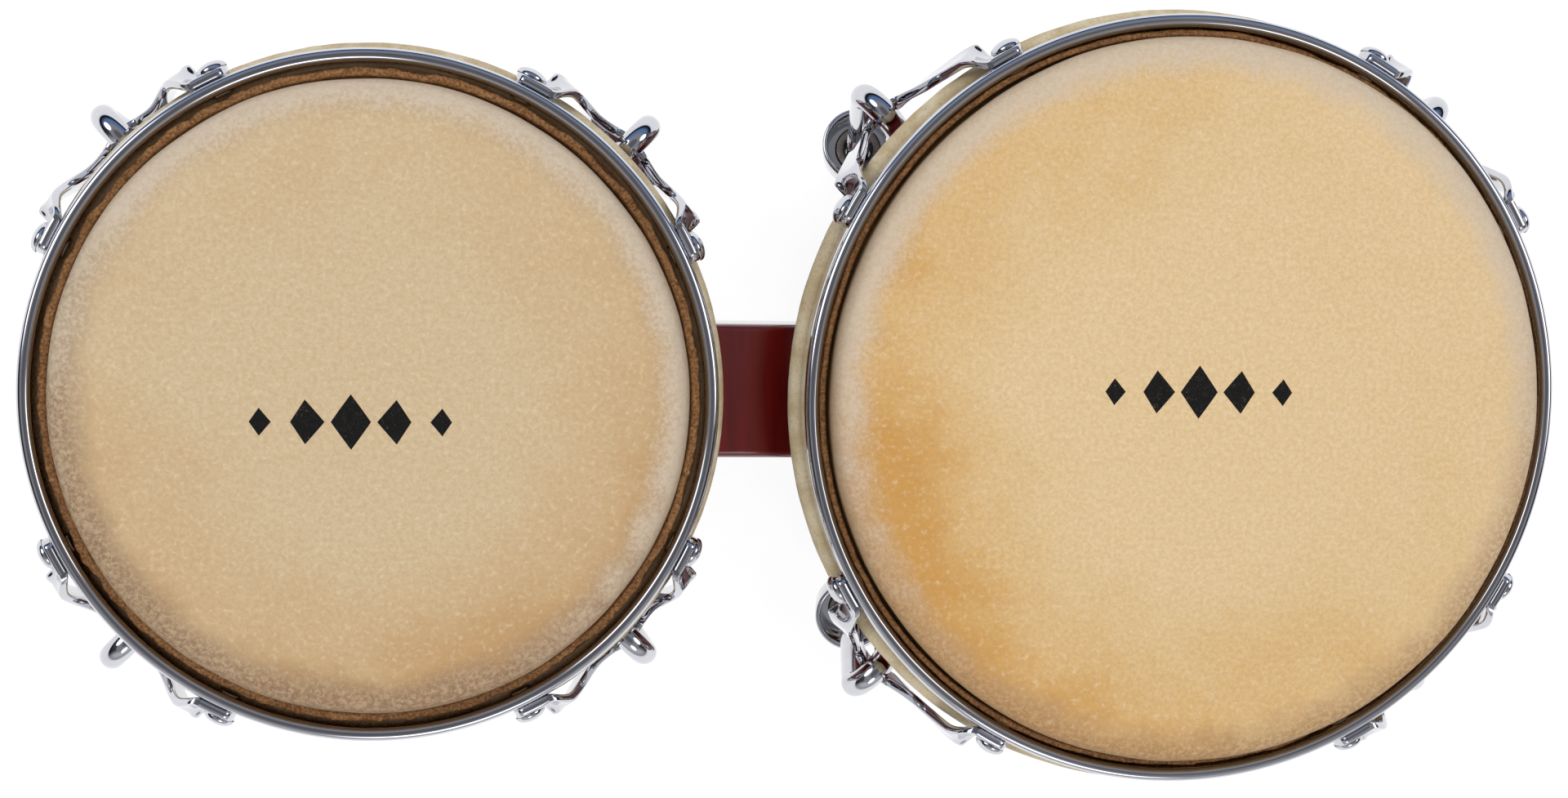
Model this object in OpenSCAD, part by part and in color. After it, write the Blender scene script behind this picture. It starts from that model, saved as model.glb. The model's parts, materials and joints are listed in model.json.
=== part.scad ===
// Pair of bongo drums: two tapered wooden shells joined by a centre block.
// Each drum has a rawhide head, a riveted steel rim and four hooked tuning rods.
// The origin is at the middle of the footprint, on the surface that the drums stand on.

/* [Drums] */
// Diameter over the skin of the small head
small_head_d = 184; // [176:1:188]
// Diameter over the skin of the large head
large_head_d = 219; // [212:1:219]
// Distance between the axes of the two drums
drum_spacing = 243.6; // [240:0.2:256]
// Height from the ground to the top of the heads
drum_h = 168; // [164:1:184]

/* [Shell] */
// Thickness of the wooden wall
shell_wall = 11; // [8:0.5:13]
// Slope of the wall from the vertical, in degrees
shell_taper = 3.2; // [2.4:0.1:3.6]
// Radius of the rounded outer top edge
edge_r = 4.5; // [3:0.5:5]

/* [Head] */
// Thickness of the hide
skin_t = 1.6; // [1.2:0.1:1.8]
// How far the skin reaches down the outside of the shell
skirt_h = 21; // [18:1:24]

/* [Rim] */
// Outer diameter of the small rim
small_rim_d = 202.2; // [201:0.2:204]
// Outer diameter of the large rim
large_rim_d = 233.4; // [233:0.2:236]
// Thickness of the rim's steel
rim_t = 4; // [3.6:0.1:4]
// Height of the rim
rim_h = 13; // [12:0.5:13]
// How far the rim's top edge lies below the head
rim_drop = 8; // [7:0.5:10]

/* [Flesh hoop] */
// Diameter of the hoop's steel wire
hoop_wire_d = 5.8; // [5:0.1:6]
// How far the wrapped hoop stands out beyond the rim
hoop_proud = 3; // [2.6:0.1:3.2]
// Depth of the hoop's centre below the rim's top edge
hoop_drop = 18.6; // [18.5:0.1:20]

/* [Brackets] */
// Thickness of the bracket's steel
strap_t = 2.8; // [2.4:0.1:3]
// Half the length of a bracket, measured round the rim
strap_half = 38; // [37.5:0.1:39]
// Distance of each rivet from the bracket's middle, measured round the rim
rivet_at = 33.6; // [33.4:0.1:34]
// Diameter of the rivets' domed heads
rivet_head_d = 9.4; // [8.6:0.1:10]

/* [Tuning rods] */
// Diameter of the tuning rods
rod_d = 8; // [7.6:0.1:8]
// Radius of the hook's bend, to the middle of the rod
hook_bend_r = 7.4; // [7.2:0.1:7.6]
// Distance of the hook's middle outside the rim
hook_out = 8; // [7.8:0.1:8.4]
// Depth of the hook's middle line below the rim's top edge, at its highest
hook_drop = 38; // [37:0.5:39]
// Distance of the hexagonal nuts across their flats
nut_flats = 12.7; // [12:0.1:13]
// Height of the nuts
nut_h = 9; // [8:0.5:9]

/* [Bottom ring] */
// Height of the bottom ring's lower edge above the ground
ring_low = 14; // [12:0.5:16]
// Height of the bottom ring
ring_h = 28; // [26:0.5:30]
// Thickness of the ring's steel
ring_t = 2.4; // [2:0.1:2.6]
// Height of the ears' plates above the ground
ear_z = 32; // [31.5:0.5:34]
// Inner radius of the cup-shaped ears
ear_r = 10.8; // [10.6:0.1:11.2]
// Height of the ears' walls
ear_wall_h = 10; // [8:0.5:11]

/* [Centre block] */
// Width of the block across the drums
block_w = 43; // [36:1:48]
// Height of the block's top above the ground
block_top = 103; // [98:1:108]
// Height of the block
block_h = 56; // [52:1:58]
// Diameter of the block's bolts
bolt_d = 8; // [6:0.5:8]

/* [Hidden] */
$fn = 96;

// Small gap between parts that are fitted face to face
seat = 0.1;
// How far a cutting shape runs past the faces that it cuts
past = 1;
// Radial play of the rods in the nuts
rod_play = 0.06;

rim_top = drum_h - rim_drop;
wrap_r = hoop_wire_d / 2 + skin_t + seat;
hoop_z = rim_top - hoop_drop;
rivet_drop = 6.4;
rivet_z = rim_top - rivet_drop;
hook_z = rim_top - hook_drop - hook_bend_r;
ear_plate_t = 3;
ear_wall_t = 1.8;
ear_gap = 1.4;
block_mid = block_top - block_h / 2;
bolt_rise = 17;
bolt_play = 0.2;
insert_l = 18;
insert_d = 12;
plate_t = 2.5;

// The shell's top edge is rounded from here upwards
edge_z = drum_h - skin_t - seat - edge_r;

// How much the shell's radius grows over a rise in height
function taper(dz) = dz * tan(shell_taper);

// Radius at a height of the shell's outside below its rounded edge, and at the ears of the bottom ring
function shell_r(head_d, z) = head_d / 2 - skin_t - seat - taper(edge_z - z);
function ring_r(head_d) = shell_r(head_d, ear_z) + seat + ring_t;
function ear_axis_r(head_d) = ring_r(head_d) + ear_r + ear_gap;

// The rod's axis passes through its ear and touches the circle of its hook's bend
function hook_dr(head_d, rim_d) = rim_d / 2 + hook_out - ear_axis_r(head_d);
function hook_reach(head_d, rim_d) = norm([hook_dr(head_d, rim_d), hook_z - ear_z]);
function lean(head_d, rim_d) =
    atan(hook_dr(head_d, rim_d) / (hook_z - ear_z)) + asin(hook_bend_r / hook_reach(head_d, rim_d));
function shaft_l(head_d, rim_d) = sqrt(pow(hook_reach(head_d, rim_d), 2) - pow(hook_bend_r, 2));

// Angle that a distance along the rim's outside takes up
function rim_turn(rim_d, s) = s * 360 / (PI * rim_d);

// Points on an arc, with angles in degrees
function arc(cx, cy, r, from, to, steps) =
    [for (i = [0 : steps])
        let (a = from + (to - from) * i / steps)
        [cx + r * cos(a), cy + r * sin(a)]];

// Places of the drums: the box of the whole object is centred on the origin
small_out = small_rim_d / 2 + hoop_proud;
large_out = large_rim_d / 2 + hoop_proud;
small_x = small_out - (small_out + drum_spacing + large_out) / 2;
large_x = small_x + drum_spacing;

module at_small() {
    translate([small_x, 0, 0])
        children();
}

module at_large() {
    translate([large_x, 0, 0])
        children();
}

// Ease from 0 to 1 with level ends
function ease(t) = t <= 0 ? 0 : t >= 1 ? 1 : t * t * (3 - 2 * t);

// ---- Wooden shell: a tapered tube with a rounded top edge and a bevelled inside ----
module shell(head_d, side) {
    top_z = edge_z + edge_r;
    top_r = shell_r(head_d, edge_z);
    foot_r = shell_r(head_d, 0);
    bevel_w = 4;
    bevel_h = 10;
    foot_round = 1.5;
    color([0.33, 0.05, 0.05])
    difference() {
        rotate_extrude($fn = 180)
            polygon(concat(
                [[foot_r - shell_wall + foot_round, 0], [foot_r - foot_round, 0]],
                [[shell_r(head_d, foot_round), foot_round]],
                arc(top_r - edge_r, edge_z, edge_r, 0, 90, 8),
                [[top_r - shell_wall + bevel_w, top_z], [top_r - shell_wall, top_z - bevel_h]],
                [[foot_r - shell_wall, foot_round]]
            ));
        for (dz = [-bolt_rise, bolt_rise])
            translate([0, 0, block_mid + dz])
                rotate([0, side * 90, 0])
                    cylinder(d = bolt_d + 2 * bolt_play, h = head_d, $fn = 48);
    }
}

// ---- Head: the hide over the shell's top, down to the end of its skirt ----
module head(head_d) {
    shoulder = edge_r + skin_t;
    shoulder_r = head_d / 2 - shoulder;
    foot = drum_h - skirt_h;
    skirt_in = shell_r(head_d, foot) + seat;
    color([0.86, 0.76, 0.58])
    rotate_extrude($fn = 180)
        polygon(concat(
            [[0, drum_h - skin_t], [0, drum_h]],
            arc(shoulder_r, drum_h - shoulder, shoulder, 90, 0, 8),
            [[skirt_in + skin_t, foot], [skirt_in, foot]],
            arc(shoulder_r, drum_h - shoulder, edge_r, 0, 90, 8)
        ));
}

// ---- Flesh hoop: the wire ring inside the wrapped hide ----
module flesh_hoop(rim_d) {
    color([0.55, 0.55, 0.56])
    rotate_extrude($fn = 180)
        translate([rim_d / 2 + hoop_proud - wrap_r, hoop_z])
            circle(d = hoop_wire_d, $fn = 48);
}

// ---- Skin wrap: the hide round the hoop, and its edge tucked up inside the rim ----
tuck_gap = 0.6;
tuck_drop = 5.5;

module skin_wrap(head_d, rim_d) {
    hoop_r = rim_d / 2 + hoop_proud - wrap_r;
    tuck_in = head_d / 2 + tuck_gap;
    tuck_out = tuck_in + skin_t;
    tuck_low = hoop_z + wrap_r + skin_t;
    color([0.78, 0.70, 0.54])
    rotate_extrude($fn = 180)
        difference() {
            polygon(concat(
                arc(hoop_r, hoop_z, wrap_r, 155, 465, 40),
                [[tuck_out, tuck_low + tuck_gap], [tuck_out, rim_top - tuck_drop]],
                [[tuck_in, rim_top - tuck_drop], [tuck_in, tuck_low]]
            ));
            translate([hoop_r, hoop_z])
                circle(d = hoop_wire_d + 2 * seat, $fn = 48);
            // The lap of the hide: a slit on the side that faces the shell
            translate([hoop_r - 2 * wrap_r, hoop_z - seat])
                square([2 * wrap_r, 2 * seat]);
        }
}

// ---- Rim: a steel band with a fully rounded top edge ----
module rim(rim_d) {
    out_r = rim_d / 2;
    round_r = 1.8;
    low = rim_top - rim_h;
    foot_bevel = 0.6;
    color([0.82, 0.83, 0.85])
    difference() {
        rotate_extrude($fn = 180)
            polygon(concat(
                [[out_r - rim_t + foot_bevel, low], [out_r - foot_bevel, low], [out_r, low + foot_bevel]],
                arc(out_r - round_r, rim_top - round_r, round_r, 0, 90, 6),
                arc(out_r - rim_t + round_r, rim_top - round_r, round_r, 90, 180, 6),
                [[out_r - rim_t, low + foot_bevel]]
            ));
        rivet_places(rim_d)
            cylinder(d = rivet_shank_d + 2 * seat, h = 4 * rim_t, center = true);
    }
}

// ---- Rivets: a domed head outside the bracket and a flat tail inside the rim ----
rivet_shank_d = 4.6;
rivet_head_h = 3;
rivet_tail_d = 7;
rivet_tail_h = 0.6;
rivet_end = -rim_t - rivet_tail_h;

// Turns its child to each rivet's axis, with its middle on the rim's outer face
module rivet_places(rim_d) {
    for (corner = [0 : 3], way = [-1, 1])
        rotate([0, 0, 45 + 90 * corner + way * rim_turn(rim_d, rivet_at)])
            translate([rim_d / 2, 0, rivet_z])
                rotate([0, 90, 0])
                    children();
}

module rivets(rim_d) {
    dome_r = (pow(rivet_head_d / 2, 2) + pow(rivet_head_h, 2)) / (2 * rivet_head_h);
    color([0.80, 0.81, 0.83])
    rivet_places(rim_d) {
        translate([0, 0, strap_t + seat]) {
            intersection() {
                translate([0, 0, rivet_head_h - dome_r])
                    sphere(r = dome_r, $fn = 48);
                cylinder(d = rivet_head_d, h = 2 * rivet_head_h, $fn = 48);
            }
        }
        translate([0, 0, rivet_end])
            cylinder(d = rivet_shank_d, h = strap_t + rivet_head_h / 2 - rivet_end, $fn = 32);
        translate([0, 0, rivet_end])
            cylinder(d = rivet_tail_d, h = rivet_tail_h - seat, $fn = 32);
    }
}

// ---- Bracket: a stamped strap, riveted to the rim, that dips to carry the hook ----
// Depths are measured from the rim's top edge, and the hook's seat leaves a gap below the hook
seat_gap = 1;
strap_mid_top = hook_drop + rod_d / 2 + seat_gap;
strap_mid_h = 10;
strap_end_top = 1.2;
strap_end_low = 12.2;

// Distances of the strap's inner face outside the rim: at the hook's seat, beside it and at the lower edge
seat_shift = 0.5;
strap_mid_out = hook_out - strap_t / 2 + seat_shift;
strap_side_out = 4.4;
strap_flare = 2;

// Places along the strap, measured from its middle: where each of its curves starts and ends
top_rise = [5, 26];
low_rise = [8, 30];
side_in = [1, 14];
top_bend = [20, 26.5];
low_bend = [28, 30.5];
wing_out = [12, 28];
wing_back = [28.5, 30.5];
wing_narrow = [22, 28];
lean_out = [4, 16];

// Share of the strap's width that stays flat beside the rivet, and how steeply the rest flares
wing_flat = 0.78;
wing_power = 1.2;

// Goes from 0 to 1 as u goes along the span
function along(u, span) = ease((u - span[0]) / (span[1] - span[0]));
function mix(from, to, t) = from + (to - from) * t;

function top_depth(u) = mix(strap_mid_top, strap_end_top, along(u, top_rise));
function low_depth(u) = mix(strap_mid_top + strap_mid_h, strap_end_low, along(u, low_rise));
function side_out(u) = mix(strap_mid_out, strap_side_out, along(u, side_in));

// The bend back to the rim slants: it comes first at the strap's top edge and last at its lower edge
function bend(u, w) = along(u, mix(top_bend, low_bend, w));
function wing(u, w) =
    let (flat_part = wing_flat * along(u, wing_narrow), free = max(0, (w - flat_part) / (1 - flat_part)))
    strap_flare * along(u, wing_out) * (1 - along(u, wing_back)) * pow(free, wing_power);
function inward(u, turn) = strap_mid_h * tan(turn) * (1 - along(u, lean_out));

// Point of the strap's inner face: s along the strap, w from its top edge (0) to its lower edge (1)
function strap_point(rim_d, s, w, turn, lift) =
    let (
        u = abs(s),
        out = seat + side_out(u) * (1 - bend(u, w)) + wing(u, w) - inward(u, turn) * w + lift,
        r = rim_d / 2 + out,
        a = rim_turn(rim_d, s)
    )
    [r * cos(a), r * sin(a), rim_top - mix(top_depth(u), low_depth(u), w)];

module bracket(head_d, rim_d, corner) {
    steps = 48;
    rows = 8;
    turn = lean(head_d, rim_d);
    edge = 0.12;
    ring = 2 * (rows + 1);
    // Each section runs down the inner face and back up the outer face, with its edges eased
    section = [for (k = [0 : ring - 1])
        let (row = k <= rows ? k : ring - 1 - k, ease_in = row == 0 || row == rows ? edge : 0)
        [row / rows, k <= rows ? ease_in * strap_t : strap_t * (1 - ease_in)]];
    points = [for (i = [0 : steps], k = [0 : ring - 1])
        strap_point(rim_d, strap_half * (2 * i / steps - 1), section[k][0], turn, section[k][1])];
    sides = [for (i = [0 : steps - 1], k = [0 : ring - 1])
        let (a = i * ring + k, b = i * ring + (k + 1) % ring)
        each [[a, b, b + ring], [a, b + ring, a + ring]]];
    first = [for (k = [0 : rows - 1]) each [[k, ring - 1 - k, ring - 2 - k], [k, ring - 2 - k, k + 1]]];
    last = [for (f = first) [for (n = [2, 1, 0]) f[n] + steps * ring]];
    color([0.80, 0.81, 0.83])
    rotate([0, 0, 45 + 90 * (corner - 1)])
        difference() {
            polyhedron(points = points, faces = concat(sides, first, last), convexity = 6);
            for (way = [-1, 1])
                rotate([0, 0, way * rim_turn(rim_d, rivet_at)])
                    translate([rim_d / 2, 0, rivet_z])
                        rotate([0, 90, 0])
                            cylinder(d = rivet_shank_d + 2 * seat, h = 3 * strap_t, center = true, $fn = 32);
        }
}

// ---- Tuning rod: its axis leans in from the hook to the ear ----
// Moves a child from the rod's own frame, with its origin where the rod meets the ear's plate
module rod_place(head_d, rim_d, corner) {
    rotate([0, 0, 45 + 90 * (corner - 1)])
        translate([ear_axis_r(head_d), 0, ear_z])
            rotate([0, lean(head_d, rim_d), 0])
                children();
}

rod_end = 26;
hook_tip = 9;

// A round bar that hangs from the origin, with a bevelled lower end
module bar(l) {
    end_bevel = 1;
    r = rod_d / 2;
    rotate_extrude($fn = 48)
        polygon([[0, 0], [0, -l], [r - end_bevel, -l], [r, end_bevel - l], [r, 0]]);
}

module rod(head_d, rim_d, corner) {
    bend_up = shaft_l(head_d, rim_d);
    color([0.82, 0.83, 0.85])
    rod_place(head_d, rim_d, corner)
        translate([-hook_bend_r, 0, bend_up]) {
            translate([hook_bend_r, 0, 0])
                bar(bend_up + rod_end);
            rotate([90, 0, 0])
                rotate_extrude(angle = 180, $fn = 96)
                    translate([hook_bend_r, 0])
                        circle(d = rod_d, $fn = 48);
            translate([-hook_bend_r, 0, 0])
                bar(hook_tip);
        }
}

// ---- Tuning nut: a hexagon with bevelled corners, below the washer ----
washer_flange_t = 2.2;
washer_collar_r = 8;

module nut(head_d, rim_d, corner) {
    corner_r = nut_flats / 2 / cos(30);
    corner_bevel = 1;
    face_r = corner_r - corner_bevel;
    drop = ear_plate_t + washer_flange_t + 4 * seat;
    color([0.78, 0.79, 0.81])
    rod_place(head_d, rim_d, corner)
        translate([0, 0, -drop - nut_h])
            difference() {
                intersection() {
                    cylinder(r = corner_r, h = nut_h, $fn = 6);
                    cylinder(r1 = face_r, r2 = face_r + nut_h, h = nut_h, $fn = 48);
                    cylinder(r1 = face_r + nut_h, r2 = face_r, h = nut_h, $fn = 48);
                }
                translate([0, 0, -past])
                    cylinder(r = rod_d / 2 + rod_play, h = nut_h + 2 * past, $fn = 48);
            }
}

// ---- Cupped washers: a flange below each ear's plate and a collar up through it ----
module washers(head_d, rim_d) {
    collar_proud = 1.6;
    bore_play = 0.7;
    flange_w = 2;
    collar_h = ear_plate_t + collar_proud;
    bore_r = rod_d / 2 + bore_play;
    flange_r = washer_collar_r + flange_w;
    color([0.80, 0.81, 0.83])
    for (corner = [1 : 4])
        rod_place(head_d, rim_d, corner)
            translate([0, 0, -ear_plate_t - washer_flange_t - seat])
                difference() {
                    union() {
                        cylinder(r = flange_r, h = washer_flange_t, $fn = 64);
                        cylinder(r = washer_collar_r, h = washer_flange_t + collar_h, $fn = 64);
                    }
                    translate([0, 0, -past])
                        cylinder(r = bore_r, h = washer_flange_t + collar_h + 2 * past, $fn = 48);
                }
}

// ---- Bottom ring: a tapered band round the shell, with four cup-shaped ears ----
// Outline of an ear, which runs inwards as far as the band
module ear_outline(r) {
    tail = 12;
    reach = ear_r + tail;
    circle(r = r, $fn = 64);
    translate([-reach, -r])
        square([reach, 2 * r]);
}

module bottom_ring(head_d, rim_d) {
    low_r = shell_r(head_d, ring_low) + seat;
    high_r = low_r + taper(ring_h);
    soft = 0.6;
    color([0.80, 0.81, 0.83])
    difference() {
        union() {
            rotate_extrude($fn = 180)
                polygon([
                    [low_r, ring_low], [low_r + ring_t - soft, ring_low], [low_r + ring_t, ring_low + soft],
                    [high_r + ring_t, ring_low + ring_h - soft], [high_r + ring_t - soft, ring_low + ring_h],
                    [high_r, ring_low + ring_h]
                ]);
            difference() {
                for (corner = [1 : 4])
                    rod_place(head_d, rim_d, corner)
                        difference() {
                            translate([0, 0, -ear_plate_t])
                                linear_extrude(ear_plate_t + ear_wall_h)
                                    ear_outline(ear_r + ear_wall_t);
                            linear_extrude(ear_wall_h + past)
                                ear_outline(ear_r);
                        }
                ring_core(head_d);
            }
        }
        for (corner = [1 : 4])
            rod_place(head_d, rim_d, corner)
                translate([0, 0, -ear_plate_t - past])
                    cylinder(r = washer_collar_r + seat, h = ear_plate_t + 2 * past, $fn = 64);
    }
}

// The space inside the middle of the ring's steel, which the ears stop at
module ring_core(head_d) {
    foot_r = shell_r(head_d, 0) + seat + ring_t / 2;
    cylinder(r1 = foot_r, r2 = foot_r + taper(drum_h), h = drum_h, $fn = 180);
}

// ---- Centre block, its inserts, bolts and backing plates ----
module shell_outside(head_d, gap) {
    r0 = shell_r(head_d, 0) + gap;
    cylinder(r1 = r0, r2 = r0 + taper(drum_h), h = drum_h, $fn = 180);
}

// Turns its child to each bolt's axis, running outward from a drum's axis towards the block
module bolt_axes(side) {
    for (dz = [-bolt_rise, bolt_rise])
        translate([0, 0, block_mid + dz])
            rotate([0, side * 90, 0])
                children();
}

module centre_block() {
    corner_r = 2.5;
    color([0.30, 0.03, 0.04])
    difference() {
        translate([small_x, 0, block_mid])
            rotate([0, 90, 0])
                linear_extrude(drum_spacing)
                    difference() {
                        square([block_h, block_w], center = true);
                        for (a = [-1, 1], b = [-1, 1])
                            translate([a * block_h / 2, b * block_w / 2])
                                difference() {
                                    square(2 * corner_r, center = true);
                                    translate([-a * corner_r, -b * corner_r])
                                        circle(r = corner_r, $fn = 48);
                                }
                    }
        at_small() shell_outside(small_head_d, seat);
        at_large() shell_outside(large_head_d, seat);
        at_small() insert_holes(small_head_d, 1);
        at_large() insert_holes(large_head_d, -1);
    }
}

// The inserts start this far inside the block's end faces
insert_depth = 2.5;

module insert_holes(head_d, side) {
    reach = shell_r(head_d, block_mid) + insert_depth + insert_l + seat;
    bolt_axes(side)
        cylinder(d = insert_d + 2 * seat, h = reach, $fn = 48);
}

module inserts(head_d, side) {
    bolt_axes(side)
        translate([0, 0, shell_r(head_d, block_mid) + insert_depth])
            difference() {
                cylinder(d = insert_d, h = insert_l, $fn = 48);
                translate([0, 0, -past])
                    cylinder(d = bolt_d + seat, h = insert_l + 2 * past, $fn = 48);
            }
}

module block_inserts() {
    color([0.75, 0.60, 0.30]) {
        at_small() inserts(small_head_d, 1);
        at_large() inserts(large_head_d, -1);
    }
}

plate_h = 52;
plate_w = 36;

module block_plate(head_d, side) {
    inner = -shell_wall - seat;
    color([0.60, 0.60, 0.62])
    difference() {
        intersection() {
            shell_outside(head_d, inner);
            translate([side * head_d / 2, 0, block_mid])
                cube([head_d, plate_w, plate_h], center = true);
        }
        translate([0, 0, -past])
            cylinder(
                r1 = shell_r(head_d, -past) + inner - plate_t, r2 = shell_r(head_d, drum_h) + inner - plate_t,
                h = drum_h + past, $fn = 180
            );
        bolt_axes(side)
            cylinder(d = bolt_d + 2 * bolt_play, h = head_d, $fn = 48);
    }
}

module block_bolts(head_d, side) {
    head_h = 5;
    flats = 13;
    end_gap = 2;
    end_r = shell_r(head_d, block_mid) + insert_depth + insert_l - end_gap;
    color([0.66, 0.66, 0.68])
    for (dz = [-bolt_rise, bolt_rise]) {
        plate_r = shell_r(head_d, block_mid + dz - flats / 2) - shell_wall - seat - plate_t;
        face_r = sqrt(pow(plate_r, 2) - pow(flats / 2 / cos(30), 2)) - seat;
        translate([0, 0, block_mid + dz])
            rotate([0, side * 90, 0]) {
                translate([0, 0, face_r - head_h])
                    cylinder(d = flats / cos(30), h = head_h, $fn = 6);
                translate([0, 0, face_r - head_h / 2])
                    cylinder(d = bolt_d, h = end_r - face_r + head_h / 2, $fn = 48);
            }
    }
}

// ---- The whole object ----
at_small() shell(small_head_d, 1);  // small_shell
at_small() head(small_head_d);  // small_head
at_small() flesh_hoop(small_rim_d);  // small_flesh_hoop
at_small() skin_wrap(small_head_d, small_rim_d);  // small_skin_wrap
at_small() rim(small_rim_d);  // small_rim
at_small() rivets(small_rim_d);  // small_rivets
at_small() bracket(small_head_d, small_rim_d, 1);  // small_bracket_1
at_small() bracket(small_head_d, small_rim_d, 2);  // small_bracket_2
at_small() bracket(small_head_d, small_rim_d, 3);  // small_bracket_3
at_small() bracket(small_head_d, small_rim_d, 4);  // small_bracket_4
at_small() rod(small_head_d, small_rim_d, 1);  // small_rod_1
at_small() rod(small_head_d, small_rim_d, 2);  // small_rod_2
at_small() rod(small_head_d, small_rim_d, 3);  // small_rod_3
at_small() rod(small_head_d, small_rim_d, 4);  // small_rod_4
at_small() nut(small_head_d, small_rim_d, 1);  // small_nut_1
at_small() nut(small_head_d, small_rim_d, 2);  // small_nut_2
at_small() nut(small_head_d, small_rim_d, 3);  // small_nut_3
at_small() nut(small_head_d, small_rim_d, 4);  // small_nut_4
at_small() washers(small_head_d, small_rim_d);  // small_washers
at_small() bottom_ring(small_head_d, small_rim_d);  // small_bottom_ring
at_small() block_bolts(small_head_d, 1);  // small_block_bolts
at_small() block_plate(small_head_d, 1);  // small_block_plate
at_large() shell(large_head_d, -1);  // large_shell
at_large() head(large_head_d);  // large_head
at_large() flesh_hoop(large_rim_d);  // large_flesh_hoop
at_large() skin_wrap(large_head_d, large_rim_d);  // large_skin_wrap
at_large() rim(large_rim_d);  // large_rim
at_large() rivets(large_rim_d);  // large_rivets
at_large() bracket(large_head_d, large_rim_d, 1);  // large_bracket_1
at_large() bracket(large_head_d, large_rim_d, 2);  // large_bracket_2
at_large() bracket(large_head_d, large_rim_d, 3);  // large_bracket_3
at_large() bracket(large_head_d, large_rim_d, 4);  // large_bracket_4
at_large() rod(large_head_d, large_rim_d, 1);  // large_rod_1
at_large() rod(large_head_d, large_rim_d, 2);  // large_rod_2
at_large() rod(large_head_d, large_rim_d, 3);  // large_rod_3
at_large() rod(large_head_d, large_rim_d, 4);  // large_rod_4
at_large() nut(large_head_d, large_rim_d, 1);  // large_nut_1
at_large() nut(large_head_d, large_rim_d, 2);  // large_nut_2
at_large() nut(large_head_d, large_rim_d, 3);  // large_nut_3
at_large() nut(large_head_d, large_rim_d, 4);  // large_nut_4
at_large() washers(large_head_d, large_rim_d);  // large_washers
at_large() bottom_ring(large_head_d, large_rim_d);  // large_bottom_ring
at_large() block_bolts(large_head_d, -1);  // large_block_bolts
at_large() block_plate(large_head_d, -1);  // large_block_plate
centre_block();
block_inserts();
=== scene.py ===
"""Bongo drums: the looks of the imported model. Lengths are in millimetres until a mesh is made."""

import json
import math

import bmesh
import bpy
from mathutils import Matrix, Vector, noise


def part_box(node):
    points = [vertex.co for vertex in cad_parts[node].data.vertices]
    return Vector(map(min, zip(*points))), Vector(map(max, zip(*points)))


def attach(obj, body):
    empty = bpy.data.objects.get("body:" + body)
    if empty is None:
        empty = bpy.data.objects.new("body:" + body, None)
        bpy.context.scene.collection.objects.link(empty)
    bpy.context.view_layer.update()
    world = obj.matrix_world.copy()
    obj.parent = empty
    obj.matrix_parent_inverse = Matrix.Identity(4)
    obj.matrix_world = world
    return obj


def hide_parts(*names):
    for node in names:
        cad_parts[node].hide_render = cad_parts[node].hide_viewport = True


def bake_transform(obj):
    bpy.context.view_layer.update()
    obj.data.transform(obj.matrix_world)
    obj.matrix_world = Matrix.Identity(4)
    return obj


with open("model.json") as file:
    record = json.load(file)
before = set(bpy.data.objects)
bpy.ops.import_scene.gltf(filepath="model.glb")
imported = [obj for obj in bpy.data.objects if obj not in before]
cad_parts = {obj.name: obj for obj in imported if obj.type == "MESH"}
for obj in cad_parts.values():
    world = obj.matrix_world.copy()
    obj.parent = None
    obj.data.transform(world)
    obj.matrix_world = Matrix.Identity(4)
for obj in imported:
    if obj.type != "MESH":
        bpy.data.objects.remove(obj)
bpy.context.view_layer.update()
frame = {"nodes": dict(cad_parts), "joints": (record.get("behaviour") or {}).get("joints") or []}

MM = 0.001
TURN = 2 * math.pi
CORNERS = (1, 2, 3, 4)

# ---- Sizes that the frame's boxes don't give, as in part.scad ----
SHELL_WALL = 11
SHELL_TAPER = math.radians(3.2)
EDGE_R = 4.5
SKIN_T = 1.6
SEAT = 0.1
RIM_T = 4
WRAP_R = 4.6
TUCK_GAP = 0.6
STRAP_T = 2.8
STRAP_HALF = 38
RIVET_AT = 33.6
RIVET_DROP = 6.4
ROD_R = 4
HOOK_BEND_R = 7.4
HOOK_DROP = 38
HOOK_OUT = 8
HOOK_TIP = 9
ROD_END = 26
THREAD_PITCH = 1.411
RING_T = 2.4
RING_LOW = 14
RING_H = 28
EAR_R = 10.8
EAR_WALL_T = 1.8
EAR_WALL_H = 10
EAR_PLATE_T = 3
WASHER_COLLAR_R = 8
WASHER_FLANGE_T = 2.2
NUT_FLATS = 12.7
NUT_H = 9
BLOCK_CORNER_R = 2.5
BOLT_RISE = 17
BOLT_R = 4
BOLT_FLATS = 13
BOLT_HEAD_H = 5
PLATE_T = 2.5

# ---- Sizes that only the looks need ----
STAVES = 14
TINY = 0.05  # the radius left open on the axis of a bolt


def box_mm(node):
    """Lowest and highest corner of a CAD node, in millimetres."""
    low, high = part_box(node)
    return low / MM, high / MM


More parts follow.
